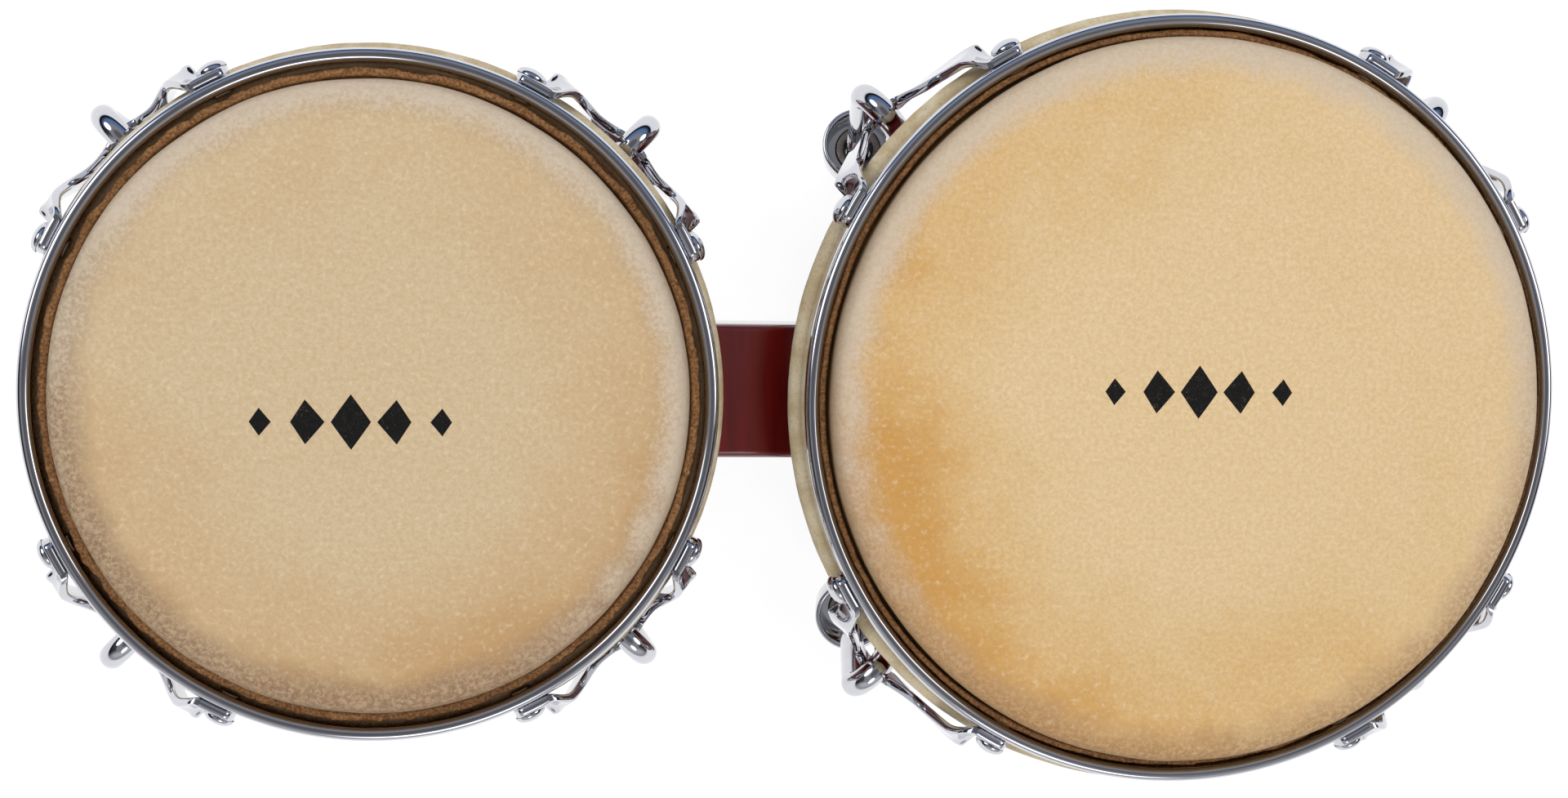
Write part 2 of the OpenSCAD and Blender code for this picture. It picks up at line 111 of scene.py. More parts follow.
class Drum:
    """One drum's sizes, in millimetres, from the frame."""

    def __init__(self, name):
        self.name = name
        self.rim_body = name + "_rim_set"
        head_low, head_high = box_mm(name + "_head")
        rim_low, rim_high = box_mm(name + "_rim")
        wrap_low, wrap_high = box_mm(name + "_skin_wrap")
        self.x = (head_low.x + head_high.x) / 2
        self.side = -1 if self.x > 0 else 1  # the way along X to the other drum
        self.head_r = (head_high.x - head_low.x) / 2
        self.top = head_high.z
        self.skirt_low = head_low.z
        self.rim_r = (rim_high.x - rim_low.x) / 2
        self.rim_top = rim_high.z
        self.rim_low = rim_low.z
        self.hoop_r = (wrap_high.x - wrap_low.x) / 2 - WRAP_R
        self.hoop_z = wrap_low.z + WRAP_R
        self.edge_z = self.top - SKIN_T - SEAT - EDGE_R
        joints = {j["name"]: j for j in frame["joints"]}
        nut = joints[name + "_nut_1_turn"]
        self.lean = math.acos(nut["axis"][2])
        self.ear_r = math.hypot(nut["pos_m"][0] / MM - self.x, nut["pos_m"][1] / MM)
        self.ear_z = nut["pos_m"][2] / MM

    def shell_r(self, z):
        """Radius of the shell's outside at a height."""
        return self.head_r - SKIN_T - SEAT - (self.edge_z - z) * math.tan(SHELL_TAPER)


DRUMS = (Drum("small"), Drum("large"))


# ---- Mesh helpers ----
def make_piece(name, points, faces, material, x=0.0, sharp=35):
    """A mesh piece from points in millimetres, about the vertical line at x.

    Edges over the sharp angle, in degrees, stay sharp.
    """
    mesh = bpy.data.meshes.new(name)
    mesh.from_pydata([(Vector(p) + Vector((x, 0, 0))) * MM for p in points], [], faces)
    work = bmesh.new()
    work.from_mesh(mesh)
    bmesh.ops.remove_doubles(work, verts=work.verts, dist=1e-6)
    bmesh.ops.recalc_face_normals(work, faces=work.faces)
    work.to_mesh(mesh)
    work.free()
    mesh.validate()
    mesh.shade_smooth()
    mesh.set_sharp_from_angle(angle=math.radians(sharp))
    mesh.materials.append(material)
    obj = bpy.data.objects.new(name, mesh)
    bpy.context.scene.collection.objects.link(obj)
    return obj


def grid_faces(rows, columns, start=0, round_rows=False, round_columns=False):
    """Quads of a grid of points that are stored row by row."""
    faces = []
    for i in range(rows if round_rows else rows - 1):
        for j in range(columns if round_columns else columns - 1):
            a, b = i * columns, (i + 1) % rows * columns
            k = (j + 1) % columns
            faces.append((start + a + j, start + b + j, start + b + k, start + a + k))
    return faces


def cylinder_point(r, angle, z):
    return (r * math.cos(angle), r * math.sin(angle), z)


def ease(t):
    """0 to 1 with a soft start and end, for t from 0 to 1."""
    t = max(0.0, min(1.0, t))
    return t * t * (3 - 2 * t)


def along(u, start, end):
    """How far u has come from start to end, eased."""
    return ease((u - start) / (end - start))


def mix(a, b, t):
    return a + (b - a) * t


def arc(cx, cy, r, start, end, steps):
    """Points on an arc, with angles in degrees."""
    angles = [math.radians(start + (end - start) * i / steps) for i in range(steps + 1)]
    return [(cx + r * math.cos(a), cy + r * math.sin(a)) for a in angles]


def rounded(corners, steps=5):
    """A closed outline through corners (x, y, radius), each rounded with its own radius."""
    outline = []
    for i, (x, y, r) in enumerate(corners):
        here = Vector((x, y))
        before = (Vector(corners[i - 1][:2]) - here).normalized()
        after = (Vector(corners[(i + 1) % len(corners)][:2]) - here).normalized()
        if r <= 0:
            outline.append((x, y))
            continue
        half = math.acos(max(-1, min(1, before.dot(after)))) / 2
        centre = here + (before + after).normalized() * (r / math.sin(half))
        first = here + before * (r / math.tan(half)) - centre
        last = here + after * (r / math.tan(half)) - centre
        sweep = first.angle_signed(last)
        for k in range(steps + 1):
            spoke = first.copy()
            spoke.rotate(Matrix.Rotation(-sweep * k / steps, 2))
            outline.append(tuple(centre + spoke))
    return outline


def lathe(name, outline, material, x, steps=360, closed=True, shape=None, sharp=35):
    """Turns an outline of (radius, height) round a drum's axis.

    shape(angle, radius, height) may move a point, and gives its new radius and height.
    """
    points = []
    for i in range(steps):
        angle = TURN * i / steps
        for r, z in outline:
            rr, zz = shape(angle, r, z) if shape else (r, z)
            points.append(cylinder_point(rr, angle, zz))
    faces = grid_faces(steps, len(outline), round_rows=True, round_columns=closed)
    return make_piece(name, points, faces, material, x, sharp)


def wander(seed, angle, coarse, fine=0.0):
    """A smooth random value from about -1 to 1 that closes on itself round a circle.

    coarse and fine are the radii of that circle in the noise, so a larger one gives more waves.
    """
    p = Vector((math.cos(angle) * coarse, math.sin(angle) * coarse, seed))
    value = noise.noise(p)
    if fine:
        q = Vector((math.cos(angle) * fine, math.sin(angle) * fine, seed + 9))
        value += 0.5 * noise.noise(q)
    return value


# ---- Materials ----
def tone(*screen):
    """A colour given as red, green and blue screen values from 0 to 255, in linear light."""
    shares = [value / 255 for value in screen]
    return (*[s / 12.92 if s <= 0.04045 else ((s + 0.055) / 1.055) ** 2.4 for s in shares], 1)


class Nodes:
    """Short calls for building the node tree of a new material, or of the owner, a world, if one is given."""

    def __init__(self, name, owner=None):
        self.owner = owner or bpy.data.materials.new(name)
        self.owner.use_nodes = True
        self.tree = self.owner.node_tree
        self.shader = self.tree.nodes.get("Principled BSDF")

    def add(self, kind, inputs=(), **settings):
        node = self.tree.nodes.new("ShaderNode" + kind)
        for key, value in settings.items():
            setattr(node, key, value)
        for key, value in dict(inputs).items():
            self.feed(node.inputs[key], value)
        return node

    def feed(self, socket, value):
        if isinstance(value, bpy.types.NodeSocket):
            self.tree.links.new(value, socket)
        else:
            socket.default_value = value

    def place(self, x=0.0):
        """Coordinates in millimetres that move with the piece, from the vertical line at x."""
        where = self.add("TexCoord").outputs["Object"]
        moved = self.add("VectorMath", operation="SUBTRACT", inputs={0: where, 1: (x * MM, 0, 0)}).outputs[0]
        return self.add("VectorMath", operation="SCALE", inputs={0: moved, "Scale": 1 / MM}).outputs[0]

    def dot(self, vector, other):
        return self.add("VectorMath", operation="DOT_PRODUCT", inputs={0: vector, 1: other}).outputs["Value"]

    def stretch(self, vector, factors):
        return self.add("VectorMath", operation="MULTIPLY", inputs={0: vector, 1: factors}).outputs[0]

    def split(self, vector):
        return self.add("SeparateXYZ", inputs={0: vector}).outputs

    def join(self, x, y, z):
        return self.add("CombineXYZ", inputs={0: x, 1: y, 2: z}).outputs[0]

    def math(self, operation, *values):
        node = self.add("Math", operation=operation)
        for socket, value in zip(node.inputs, values):
            self.feed(socket, value)
        return node.outputs[0]

    def noise(self, vector, size, detail=3, roughness=0.5, distortion=0.0):
        """Noise from 0 to 1 with features about size millimetres across."""
        values = {"Vector": vector, "Scale": 1 / size, "Detail": detail, "Roughness": roughness,
                  "Distortion": distortion}
        return self.add("TexNoise", inputs=values).outputs["Fac"]

    def stir(self, value, noise, amount):
        """The value, moved up or down by noise."""
        return self.math("ADD", value, self.math("MULTIPLY", self.math("SUBTRACT", noise, 0.5), amount))

    def step(self, value, low, high, to_low=0.0, to_high=1.0):
        """Goes smoothly from to_low to to_high as the value goes from low to high."""
        values = {"Value": value, "From Min": low, "From Max": high, "To Min": to_low, "To Max": to_high}
        return self.add("MapRange", interpolation_type="SMOOTHSTEP", inputs=values).outputs[0]

    def mix(self, factor, first, second):
        node = self.add("Mix", data_type="RGBA")
        for socket, value in ((0, factor), (6, first), (7, second)):
            self.feed(node.inputs[socket], value)
        return node.outputs[2]

    def bump(self, height, depth, strength=1.0):
        """Feeds a height from 0 to 1, depth millimetres deep, to the shader's normal."""
        values = {"Height": height, "Distance": depth * MM, "Strength": strength}
        self.feed(self.shader.inputs["Normal"], self.add("Bump", inputs=values).outputs[0])

    def set(self, **values):
        for key, value in values.items():
            self.feed(self.shader.inputs[key.replace("_", " ")], value)
        return self.owner


def chrome_material():
    n = Nodes("chrome")
    where = n.place()
    haze = n.noise(where, 14, detail=4)
    scuff = n.noise(n.stretch(where, (1, 1, 6)), 0.5, detail=5, roughness=0.7)
    n.bump(n.noise(where, 9, detail=2), 0.03, 0.5)
    rough = n.math("ADD", n.step(haze, 0.35, 0.75, 0.035, 0.075), n.step(scuff, 0.55, 0.8, 0.0, 0.05))
    colour = n.mix(n.step(haze, 0.3, 0.8), tone(208, 209, 214), tone(200, 200, 206))
    return n.set(Base_Color=colour, Metallic=1.0, Roughness=rough)


def zinc_material():
    n = Nodes("zinc_steel")
    where = n.place()
    grain = n.noise(where, 0.9, detail=6, roughness=0.65)
    bloom = n.noise(where, 5, detail=4)
    colour = n.mix(n.step(bloom, 0.35, 0.7), tone(132, 128, 124), tone(160, 152, 142))
    n.bump(grain, 0.12, 0.6)
    return n.set(Base_Color=colour, Metallic=1.0, Roughness=n.step(grain, 0.3, 0.75, 0.24, 0.46))


def brass_material():
    n = Nodes("brass")
    where = n.place()
    marks = n.noise(n.stretch(where, (8, 1, 1)), 2, detail=5)
    colour = n.mix(n.step(marks, 0.3, 0.7), tone(196, 160, 92), tone(170, 130, 66))
    n.bump(marks, 0.05, 0.5)
    return n.set(Base_Color=colour, Metallic=1.0, Roughness=n.step(marks, 0.3, 0.7, 0.22, 0.4))


def stave_pattern(n, where):
    """For the boards round a drum: a random value for each, and the distance to the nearest joint."""
    x, y, _ = n.split(where)
    board = n.math("MULTIPLY", n.math("ADD", n.math("ARCTAN2", y, x), math.pi), STAVES / TURN)
    each = n.add("TexWhiteNoise", noise_dimensions="1D", inputs={"W": n.math("FLOOR", board)})
    return each.outputs["Value"], n.math("PINGPONG", board, 0.5)


def lacquer_material(name, grain_axis, drum=None):
    """Dark red lacquer over wood with its grain along grain_axis, in staves if it is for a drum."""
    n = Nodes(name)
    where = n.place(drum.x if drum else 0.0)
    shrink = [1.0, 1.0, 1.0]
    shrink[grain_axis] = 0.05
    fibres = n.noise(n.stretch(where, shrink), 1.1, detail=6, roughness=0.6)
    rings = n.noise(n.stretch(where, shrink), 7, detail=3, distortion=0.6)
    deep = n.mix(n.step(rings, 0.35, 0.68), tone(88, 8, 7), tone(108, 14, 12))
    colour = n.mix(n.step(fibres, 0.52, 0.72, 0.0, 0.5), deep, tone(56, 4, 4))
    if drum:
        each, joint = stave_pattern(n, where)
        colour = n.mix(n.math("MULTIPLY", each, 0.35), colour, tone(58, 8, 10))
        colour = n.mix(n.step(joint, 0.0, 0.012, 0.5, 0.0), colour, tone(30, 4, 5))
    n.bump(n.noise(where, 22, detail=2), 0.12, 0.35)
    return n.set(Base_Color=colour, Roughness=0.32, Coat_Weight=0.9, Coat_Roughness=0.06,
                 Specular_IOR_Level=0.4)


def bare_wood_material(drum):
    """The shell's inside: unfinished staves with their grain upright."""
    n = Nodes(drum.name + "_bare_wood")
    where = n.place(drum.x)
    fibres = n.noise(n.stretch(where, (1, 1, 0.05)), 1.3, detail=6, roughness=0.65)
    rings = n.noise(n.stretch(where, (1, 1, 0.05)), 8, detail=3, distortion=0.8)
    each, joint = stave_pattern(n, where)
    colour = n.mix(n.step(rings, 0.35, 0.7), tone(196, 160, 116), tone(168, 128, 86))
    colour = n.mix(n.step(fibres, 0.5, 0.75, 0.0, 0.6), colour, tone(128, 92, 58))
    colour = n.mix(n.math("MULTIPLY", each, 0.4), colour, tone(150, 108, 70))
    colour = n.mix(n.step(joint, 0.0, 0.014, 0.7, 0.0), colour, tone(82, 54, 32))
    n.bump(fibres, 0.3, 0.6)
    return n.set(Base_Color=colour, Roughness=n.step(fibres, 0.3, 0.7, 0.55, 0.75))


# The printed row of lozenges, the middle one largest
MARKS = 5
MARK_PITCH = 13
MARK_HALF_W = 6
MARK_SLIMNESS = 0.75
OUTER_MARK = 0.45


def lozenge_mask(n, drum, x, y, z, centre):
    """1 inside a printed lozenge and 0 outside it, for a row round centre."""
    row = MARKS * MARK_PITCH / 2
    across = n.math("SUBTRACT", x, centre[0])
    cell = n.math("ABSOLUTE", n.math("WRAP", across, MARK_PITCH / 2, -MARK_PITCH / 2))
    size = n.step(n.math("ABSOLUTE", across), 0.0, row, 1.0, OUTER_MARK)
    tall = n.math("MULTIPLY", n.math("ABSOLUTE", n.math("SUBTRACT", y, centre[1])), MARK_SLIMNESS)
    inside = n.math("LESS_THAN", n.math("ADD", cell, tall), n.math("MULTIPLY", size, MARK_HALF_W))
    inside = n.math("MULTIPLY", inside, n.math("LESS_THAN", n.math("ABSOLUTE", across), row))
    return n.math("MULTIPLY", inside, n.math("GREATER_THAN", z, drum.top - 1))


def hide_material(drum, body, deep, patch, warm_side, lit_worn_side, dirt_and_shade_tone, dirt_and_shade_from, dirt_and_shade_most, mark):
    """Rawhide: finely mottled, warmer towards warm_side of the edge, with a printed row round mark.

    The shoulder is rubbed pale towards the given lit side, where a painted highlight adds to the wear. On the
    other side it is dirty and darkened with painted shade, from the given share of the radius outwards.
    Painted shade also darkens the shoulder's outer edge and the skirt going down from the top.
    """
    n = Nodes(drum.name + "_rawhide")
    where = n.place(drum.x)
    x, y, z = n.split(where)
    reach = n.add("VectorMath", operation="LENGTH", inputs={0: n.join(x, y, 0.0)}).outputs["Value"]
    radius = n.math("DIVIDE", reach, drum.head_r)
    broad = n.noise(where, 55, detail=3, distortion=0.5)
    cloud = n.noise(where, 12, detail=5, roughness=0.6)
    speck = n.noise(where, 1.7, detail=5, roughness=0.62)
    grain = n.noise(where, 1.4, detail=6, roughness=0.7, distortion=0.4)
    fibre = n.noise(where, 1.0, detail=7, roughness=0.8, distortion=2.2)

    # The hide is warmer and darker towards the edge, most of all on one side
    slant = n.math("DIVIDE", n.dot(where, (*warm_side, 0)), drum.head_r)
    heat = n.math("MULTIPLY", n.step(radius, 0.2, 1.0), n.math("ADD", n.math("MULTIPLY", slant, 0.4), 0.62))
    heat = n.stir(n.stir(heat, broad, 0.8), cloud, 0.4)
    colour = n.mix(n.step(heat, 0.1, 0.85), body, deep)
    colour = n.mix(n.step(heat, 0.62, 0.98, 0.0, 0.95), colour, patch)
    colour = n.mix(n.step(speck, 0.5, 0.72, 0.0, 0.4), colour, tone(214, 198, 168))
    colour = n.mix(n.step(grain, 0.66, 0.34, 0.0, 0.3), colour, tone(160, 124, 78))
    colour = n.mix(n.step(fibre, 0.56, 0.78, 0.0, 0.35), colour, tone(216, 202, 174))

    # The worn shoulder, with a ragged inner edge; painted highlight and painted shade lie over its wear and
    # dirt
    ragged = n.stir(n.stir(radius, cloud, 0.1), grain, 0.12)
    towards_lit_side = n.math("ADD", n.math("DIVIDE", n.dot(where, (*lit_worn_side, 0)), drum.head_r), cloud)
    # Pale wear, which a painted highlight strengthens towards the lit side
    rub_and_highlight = n.math("MULTIPLY", n.step(ragged, 0.875, 0.965), n.step(fibre, 0.3, 0.55, 0.6, 0.95))
    rub_and_highlight = n.math("MULTIPLY", rub_and_highlight, n.step(towards_lit_side, -0.4, 0.9, 0.25, 1.0))
    colour = n.mix(rub_and_highlight, colour, tone(196, 181, 160))
    # Dirt specks, with painted shade that grows away from the lit side
    dirt_and_shade = n.math("MULTIPLY", n.step(ragged, dirt_and_shade_from, dirt_and_shade_from + 0.1), n.step(grain, 0.62, 0.38, 0.4, 1.0))
    dirt_and_shade = n.math("MULTIPLY", dirt_and_shade, n.step(towards_lit_side, 0.75, -0.25, 0.25, dirt_and_shade_most))
    colour = n.mix(dirt_and_shade, colour, dirt_and_shade_tone)
    # Painted shade: darker brown round the shoulder's outer edge, darker still down the skirt into the gap
    # under the rim
    colour = n.mix(n.step(radius, 0.975, 1.0, 0.0, 0.3), colour, tone(128, 96, 62))
    colour = n.mix(n.step(z, drum.top - 5, drum.top - 12), colour, tone(140, 110, 74))

    # The ink is thin where the hide is fibrous
    ink = n.math("MULTIPLY", lozenge_mask(n, drum, x, y, z, mark), n.step(fibre, 0.7, 0.58, 0.45, 1.0))
    colour = n.mix(ink, colour, tone(8, 7, 6))

    height = n.math("ADD", n.math("MULTIPLY", fibre, 0.5), n.math("MULTIPLY", grain, 0.5))
    n.bump(height, 0.08, 0.6)
    return n.set(Base_Color=colour, Roughness=n.step(speck, 0.3, 0.7, 0.5, 0.68), Specular_IOR_Level=0.3)


def wrap_material(drum):
    """The outer, paler side of the hide round the hoop. It goes brown and fibrous up at the cut edge."""
    n = Nodes(drum.name + "_rawhide_wrap")
    where = n.place(drum.x)
    height = n.split(where)[2]
    cloud = n.noise(where, 9, detail=5, roughness=0.6)
    fibre = n.noise(where, 0.9, detail=6, roughness=0.75)
    colour = n.mix(n.step(cloud, 0.35, 0.68), tone(202, 189, 160), tone(180, 160, 124))
    colour = n.mix(n.step(fibre, 0.48, 0.72, 0.0, 0.65), colour, tone(150, 126, 90))
    edge = n.mix(n.step(fibre, 0.35, 0.7), tone(98, 62, 34), tone(168, 124, 80))
    colour = n.mix(n.step(height, drum.hoop_z + 3.5, drum.hoop_z + 7), colour, edge)
    n.bump(fibre, 0.3, 0.7)
    return n.set(Base_Color=colour, Roughness=0.66, Specular_IOR_Level=0.25)


def fibre_material():
    n = Nodes("hide_fibres")
    colour = n.mix(n.noise(n.place(), 3, detail=3), tone(214, 192, 158), tone(128, 92, 56))
    return n.set(Base_Color=colour, Roughness=0.6)


def floor_material():
    n = Nodes("pale_floor")
    grain = n.noise(n.place(), 40, detail=4)
    colour = n.mix(n.step(grain, 0.3, 0.7), (0.17, 0.17, 0.172, 1), (0.14, 0.14, 0.142, 1))
    return n.set(Base_Color=colour, Roughness=0.7, Specular_IOR_Level=0.1, Emission_Color=(1, 1, 1, 1),
                 Emission_Strength=0.91)


CHROME = chrome_material()
ZINC = zinc_material()
BRASS = brass_material()
BLOCK_LACQUER = lacquer_material("block_lacquer", grain_axis=1)
LACQUERS = {drum.name: lacquer_material(drum.name + "_lacquer", grain_axis=2, drum=drum) for drum in DRUMS}
BARE_WOODS = {drum.name: bare_wood_material(drum) for drum in DRUMS}
FIBRES = fibre_material()
HIDES = {
    "small": hide_material(DRUMS[0], tone(192, 171, 137), tone(185, 157, 116), tone(178, 142, 98),
                           warm_side=(0.5, -0.85), lit_worn_side=(0.45, 0.9), dirt_and_shade_tone=tone(124, 98, 74),
                           dirt_and_shade_from=0.84, dirt_and_shade_most=0.88, mark=(-6, -6)),
    "large": hide_material(DRUMS[1], tone(208, 182, 139), tone(199, 162, 105), tone(187, 138, 68),
                           warm_side=(-0.8, -0.6), lit_worn_side=(-0.1, 1), dirt_and_shade_tone=tone(140, 102, 60),
                           dirt_and_shade_from=0.87, dirt_and_shade_most=0.72, mark=(1, 4)),
}
WRAPS = {drum.name: wrap_material(drum) for drum in DRUMS}


# ---- Wooden shells ----
# The foot's worn edge: how far in and how far up it reaches, and its knuckle between the two
FOOT_IN, FOOT_UP, FOOT_KNUCKLE = 1.2, 1.4, 0.35
# The bevel inside the shell's top
BEVEL_W, BEVEL_H = 4, 10


def make_shell(drum):
    """The staved body: lacquered outside and on its foot, bare wood inside."""
    foot, top_z = drum.shell_r(0), drum.edge_z + EDGE_R
    top = drum.shell_r(drum.edge_z)
    outside = [(foot - FOOT_IN, 0), (foot - FOOT_KNUCKLE, FOOT_KNUCKLE), (foot, FOOT_UP)]
    outside += [(drum.shell_r(z), z) for z in (50, 110)]
    outside += arc(top - EDGE_R, drum.edge_z, EDGE_R, 0, 90, 10)
    inside = [(top - SHELL_WALL + BEVEL_W, top_z), (top - SHELL_WALL, top_z - BEVEL_H)]
    inside += [(drum.shell_r(60) - SHELL_WALL, 60), (foot - SHELL_WALL, FOOT_UP)]
    inside += [(foot - SHELL_WALL + FOOT_KNUCKLE, FOOT_KNUCKLE), (foot - SHELL_WALL + FOOT_IN, 0)]
    obj = lathe(drum.name + "_wood_shell", outside + inside, LACQUERS[drum.name], drum.x, steps=240)
    obj.data.materials.append(BARE_WOODS[drum.name])
    columns = len(outside) + len(inside)
    for face in obj.data.polygons:
        column = face.index % columns
        face.material_index = 1 if len(outside) - 1 <= column < columns - 1 else 0
    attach(obj, "shells")
    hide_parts(drum.name + "_shell")
    return obj


# ---- Hides: the head with its skirt, and the wrapped edge round the flesh hoop ----
SKIRT_LEAVES = 4  # how far above the CAD skirt's end it leaves the shell
SKIRT_OVERLAP = 0.8  # how far its own end reaches into the wrap
SKIRT_DROP = 1.5  # how far its own end lies below the hoop's middle


def skirt_line(drum, offset):
    """Outline from the shoulder down to the hoop, offset outwards from the shell."""
    foot = drum.skirt_low + SKIRT_LEAVES
    line = [(drum.shell_r(z) + SEAT + offset, z) for z in (drum.edge_z, (drum.edge_z + foot) / 2, foot)]
    foot_r = line[-1][0]
    end_r, end_z = drum.hoop_r - WRAP_R + SKIRT_OVERLAP + offset, drum.hoop_z - SKIRT_DROP
    line += [(mix(foot_r, end_r, ease(t)), mix(foot, end_z, t)) for t in (0.25, 0.5, 0.75, 1.0)]
    return line


# The hide's unevenness at its shoulder, over its face and round the face's edge
OUT_OF_ROUND, FACE_WAVE, FACE_WAVE_SIZE, EDGE_DIP = 0.35, 0.22, 26, 0.25


def make_hide(drum, shell):
    """The head, its rounded shoulder and its skirt, which stretches as the rim is drawn down."""
    shoulder = EDGE_R + SKIN_T
    centre = (drum.head_r - shoulder, drum.top - shoulder)
    rings = [drum.head_r * k / 24 for k in range(23)]
    upper = [(r, drum.top) for r in rings] + arc(*centre, shoulder, 90, 4, 12) + skirt_line(drum, SKIN_T)
    lower = skirt_line(drum, 0)[::-1] + arc(*centre, EDGE_R, 4, 90, 8)
    lower += [(r, drum.top - SKIN_T) for r in rings[::-1][4::6]]
    seed = 3.0 if drum.name == "small" else 21.0

    def uneven(angle, r, z):
        """The hide isn't quite round at the shoulder, and its face is not quite flat."""
        edge = max(0.0, min(1.0, (r / drum.head_r - 0.8) / 0.16))
        out = OUT_OF_ROUND * edge * wander(seed, angle, 2.2, 7.0) * (1 if z > drum.edge_z - 6 else 0)
        point = Vector(cylinder_point(r / FACE_WAVE_SIZE, angle, seed))
        dip = FACE_WAVE * noise.noise(point) * (1 - edge) - EDGE_DIP * edge * abs(wander(seed + 4, angle, 3))
        return r + out, z + (dip if z > drum.top - 3 else 0)

    outline = upper + lower
    obj = lathe(drum.name + "_hide", outline, HIDES[drum.name], drum.x, closed=False, shape=uneven, sharp=60)
    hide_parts(drum.name + "_head")
    return obj


# The wrap goes from the hoop's inner side, under it, out and over its top, in degrees
WRAP_FROM, WRAP_TO = 195, 462
# How far its cut edge lies below the rim's top, and how deep it gathers round the hoop
CUT_DROP, GATHER = 3.6, 0.12


def make_wrap(drum):
    """The hide round the hoop and its cut edge, which stands up ragged inside the rim."""
    seed = 41.0 if drum.name == "small" else 77.0
    tuck_in = drum.head_r + TUCK_GAP
    room = drum.rim_r - RIM_T - tuck_in - SKIN_T
    cut_top = drum.rim_top - CUT_DROP
    tuck_out, tuck_z = tuck_in + SKIN_T, drum.hoop_z + 9
    hoop = (drum.hoop_r, drum.hoop_z)
    outline = arc(*hoop, WRAP_R, WRAP_FROM, WRAP_TO, 34)
    outline += [(tuck_out + 0.4, drum.hoop_z + 7.2), (tuck_out, tuck_z)]
    outline += [(tuck_out - 0.1, cut_top - 0.3), (tuck_out - 0.5, cut_top), (tuck_in + 0.5, cut_top)]
    outline += [(tuck_in + 0.05, cut_top - 0.4), (tuck_in, tuck_z), (tuck_in + 0.3, drum.hoop_z + 6.4)]
    outline += arc(*hoop, WRAP_R - SKIN_T, WRAP_TO, WRAP_FROM, 24)

    def uneven(angle, r, z):
        """Gathers round the hoop, and a cut edge that wanders up and down."""
        lift = max(0.0, (z - drum.hoop_z - 6) / (cut_top - drum.hoop_z - 6))
        on_outside = math.dist((r, z), hoop) > WRAP_R - SKIN_T / 2
        gather = GATHER * wander(seed, angle, 14.0, 40.0) if on_outside else 0
        ragged = 2.0 * wander(seed + 2, angle, 6.0, 26.0) + 0.8 * wander(seed + 5, angle, 90.0)
        spread = room * (0.5 + 0.35 * wander(seed + 8, angle, 12.0, 50.0))
        outer = 1.0 if r > tuck_in + SKIN_T / 2 else 0.3
        return r + gather * (1 - lift) + max(-0.1, spread * lift * outer), z + min(0.9, ragged) * lift

    obj = lathe(drum.name + "_hide_wrap", outline, WRAPS[drum.name], drum.x, 720, shape=uneven, sharp=60)
    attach(obj, drum.rim_body)
    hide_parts(drum.name + "_skin_wrap")
    fibres = make_fibres(drum, seed, tuck_in + SKIN_T / 2, cut_top)


FIBRES_PER_MM = 3.2  # for each millimetre of the head's radius


def make_fibres(drum, seed, r, z):
    """Loose fibres along the cut edge of the hide, each a thin tapering blade."""
    points, faces = [], []
    count = int(drum.head_r * FIBRES_PER_MM)
    for i in range(count):
        angle = TURN * (i + 0.7 * wander(seed + i * 0.37, i, 3.0)) / count
        length = 0.9 + 1.3 * abs(wander(seed + 1, angle, 60.0, 130.0))
        side = 0.9 * wander(seed + 3, angle, 80.0)
        inward = 0.5 * wander(seed + 6, angle, 70.0)
        base = Vector(cylinder_point(r, angle, z - 0.9))
        across = Vector((-math.sin(angle), math.cos(angle), 0))
        out = Vector((math.cos(angle), math.sin(angle), 0))
        for t, width in ((0.0, 0.07), (0.6, 0.05), (1.0, 0.015)):
            middle = base + Vector((0, 0, length * t)) + across * side * t * t + out * inward * t * t
            points += [tuple(middle + way * width) for way in (across, out, -across, -out)]
        start = len(points) - 12
        for level in (0, 4):
            for k in range(4):
                a, b = start + level + k, start + level + (k + 1) % 4
                faces.append((a, b, b + 4, a + 4))
        faces.append((start + 8, start + 9, start + 10, start + 11))
    obj = make_piece(drum.name + "_hide_fibres", points, faces, FIBRES, drum.x)
    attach(obj, drum.rim_body)
    return obj


# ---- Rims ----
RIM_TOP_ROUND = 1.85
RIM_LOW_ROUND = 0.6


def make_rim(drum):
    """The flat steel band with its rounded top edge."""
    inner, outer, top, low = drum.rim_r - RIM_T, drum.rim_r, drum.rim_top, drum.rim_low
    section = rounded([(inner, low, RIM_LOW_ROUND), (outer, low, RIM_LOW_ROUND),
                       (outer, top, RIM_TOP_ROUND), (inner, top, RIM_TOP_ROUND)], 9)
    obj = lathe(drum.name + "_steel_rim", section, CHROME, drum.x, 480, sharp=60)
    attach(obj, drum.rim_body)
    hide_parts(drum.name + "_rim")


def rivet_angles(drum):
    """Angle of each rivet, corner by corner."""
    step = RIVET_AT / drum.rim_r
    return [TURN * (2 * corner - 1) / 8 + way * step for corner in CORNERS for way in (-1, 1)]


